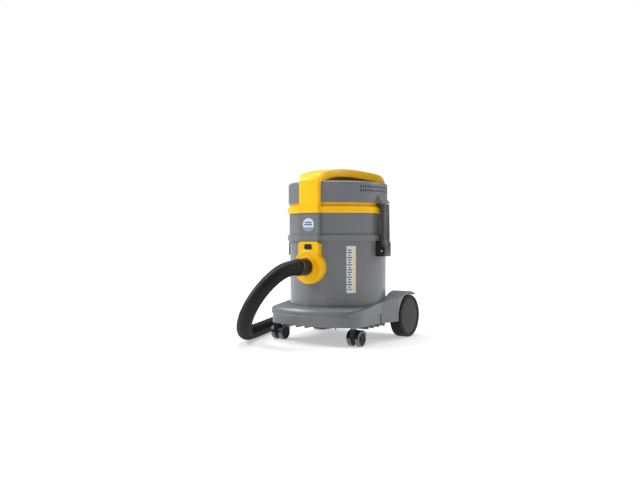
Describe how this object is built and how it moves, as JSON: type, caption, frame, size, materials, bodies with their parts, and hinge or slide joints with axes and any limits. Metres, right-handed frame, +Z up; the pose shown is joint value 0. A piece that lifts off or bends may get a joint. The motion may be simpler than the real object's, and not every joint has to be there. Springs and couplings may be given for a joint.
{
  "type": "shop vacuum",
  "caption": "Wheeled tank vacuum with a latched lift-off motor head, arched carry handle, front inlet and ribbed hose.",
  "frame": {"origin": "middle of the footprint, on the floor (trolley front to rear wheels, without the hose)", "axes": "+Z up, -Y towards the front with the hose inlet, +X towards the right wheel"},
  "size_m": [0.6667, 1.179, 0.597],
  "materials": {
    "grey_plastic": "satin moulded",
    "yellow_plastic": "satin moulded",
    "black_plastic": "fine grain",
    "caster_wheel": "black hub with grey tread",
    "tyre_rubber": "matte",
    "hose_vinyl": "satin ribbed",
    "steel": "zinc plated",
    "aluminium": "pressed",
    "copper_winding": "varnished copper",
    "seal_rubber": "matte",
    "filter_fabric": "needle felt",
    "filter_rim_plastic": "plain",
    "carbon": "carbon",
    "rocker_red": "gloss",
    "label_print": "printed film"
  },
  "bodies": {
    "vacuum_body": {"base_trolley": "grey_plastic", "rear_axle": "steel", "axle_clips": "steel", "tank": "grey_plastic", "tank_seal": "seal_rubber", "filter_ring": "grey_plastic", "filter_rim": "filter_rim_plastic", "filter_cloth": "filter_fabric", "inlet_housing": "yellow_plastic", "inlet_seal": "seal_rubber", "inlet_deflector": "black_plastic", "button_spring": "steel", "tank_label": "label_print", "front_badge": "label_print", "latch_bracket_left": "black_plastic", "latch_bracket_right": "black_plastic", "latch_pins": "steel", "tank_screws": "steel", "hose_connector": "black_plastic", "hose_tube": "hose_vinyl", "hose_end_cuff": "hose_vinyl"},
    "head": {"lid_ring": "yellow_plastic", "lid_seal": "seal_rubber", "head_cover": "grey_plastic", "carry_handle": "yellow_plastic", "head_screws": "steel", "switch_body": "black_plastic", "cable_gland": "black_plastic", "motor_gasket": "seal_rubber", "fan_housing": "aluminium", "motor_housing": "aluminium", "motor_stator": "copper_winding", "motor_bearings": "steel", "carbon_brushes": "carbon", "motor_clamp": "steel", "float_cage": "black_plastic"},
    "motor_rotor": {"motor_shaft": "steel", "motor_armature": "copper_winding", "fan_impeller": "aluminium"},
    "float": {"shutoff_float": "filter_rim_plastic"},
    "rocker": {"switch_rocker": "rocker_red"},
    "button": {"release_button": "black_plastic"},
    "latch_left": {"latch_lever_left": "black_plastic"},
    "latch_right": {"latch_lever_right": "black_plastic"},
    "rear_wheel_left": {"rear_hub_left": "black_plastic", "rear_tyre_left": "tyre_rubber", "rear_cap_left": "black_plastic"},
    "rear_wheel_right": {"rear_hub_right": "black_plastic", "rear_tyre_right": "tyre_rubber", "rear_cap_right": "black_plastic"},
    "caster_left": {"caster_stem_left": "steel", "caster_hood_left": "black_plastic", "caster_axle_left": "steel"},
    "caster_right": {"caster_stem_right": "steel", "caster_hood_right": "black_plastic", "caster_axle_right": "steel"},
    "caster_wheel_left_inner": {"caster_wheel_left_inner": "caster_wheel"},
    "caster_wheel_left_outer": {"caster_wheel_left_outer": "caster_wheel"},
    "caster_wheel_right_inner": {"caster_wheel_right_inner": "caster_wheel"},
    "caster_wheel_right_outer": {"caster_wheel_right_outer": "caster_wheel"}
  },
  "joints": [
    {"name": "head_lift", "type": "slide", "parent": "vacuum_body", "child": "head", "axis": [0, 0, 1], "range_m": [0, 0.16]},
    {"name": "latch_left_hinge", "type": "hinge", "parent": "vacuum_body", "child": "latch_left", "pos_m": [-0.192, -0.0145, 0.312], "axis": [0, -1, 0], "range_deg": [0, 75]},
    {"name": "latch_right_hinge", "type": "hinge", "parent": "vacuum_body", "child": "latch_right", "pos_m": [0.192, -0.0145, 0.312], "axis": [0, 1, 0], "range_deg": [0, 75]},
    {"name": "motor_spin", "type": "hinge", "parent": "head", "child": "motor_rotor", "pos_m": [0, -0.0145, 0.46], "axis": [0, 0, 1], "continuous": true},
    {"name": "float_rise", "type": "slide", "parent": "head", "child": "float", "axis": [0, 0, 1], "range_m": [0, 0.016]},
    {"name": "switch_rock", "type": "hinge", "parent": "head", "child": "rocker", "pos_m": [0, 0.07644, 0.57667], "axis": [1, 0, 0], "range_deg": [0, 27]},
    {"name": "release_press", "type": "slide", "parent": "vacuum_body", "child": "button", "axis": [0, 1, 0], "range_m": [0, 0.0035], "stiffness_N_per_m": 900, "springref_m": -0.004, "deforming": ["button_spring"]},
    {"name": "rear_wheel_left_spin", "type": "hinge", "parent": "vacuum_body", "child": "rear_wheel_left", "pos_m": [-0.181, 0.1505, 0.076], "axis": [1, 0, 0], "continuous": true},
    {"name": "rear_wheel_right_spin", "type": "hinge", "parent": "vacuum_body", "child": "rear_wheel_right", "pos_m": [0.181, 0.1505, 0.076], "axis": [1, 0, 0], "continuous": true},
    {"name": "caster_left_swivel", "type": "hinge", "parent": "vacuum_body", "child": "caster_left", "pos_m": [-0.157, -0.1635, 0.055], "axis": [0, 0, 1], "continuous": true},
    {"name": "caster_left_inner_roll", "type": "hinge", "parent": "caster_left", "child": "caster_wheel_left_inner", "pos_m": [-0.157, -0.1455, 0.025], "axis": [1, 0, 0], "continuous": true},
    {"name": "caster_left_outer_roll", "type": "hinge", "parent": "caster_left", "child": "caster_wheel_left_outer", "pos_m": [-0.157, -0.1455, 0.025], "axis": [1, 0, 0], "continuous": true},
    {"name": "caster_right_swivel", "type": "hinge", "parent": "vacuum_body", "child": "caster_right", "pos_m": [0.157, -0.1635, 0.055], "axis": [0, 0, 1], "continuous": true},
    {"name": "caster_right_inner_roll", "type": "hinge", "parent": "caster_right", "child": "caster_wheel_right_inner", "pos_m": [0.157, -0.1455, 0.025], "axis": [1, 0, 0], "continuous": true},
    {"name": "caster_right_outer_roll", "type": "hinge", "parent": "caster_right", "child": "caster_wheel_right_outer", "pos_m": [0.157, -0.1455, 0.025], "axis": [1, 0, 0], "continuous": true}
  ],
  "couplings": [
    {"joint": "latch_left_hinge", "follows": "head_lift", "rad_per_m": 8},
    {"joint": "latch_right_hinge", "follows": "head_lift", "rad_per_m": 8}
  ]
}
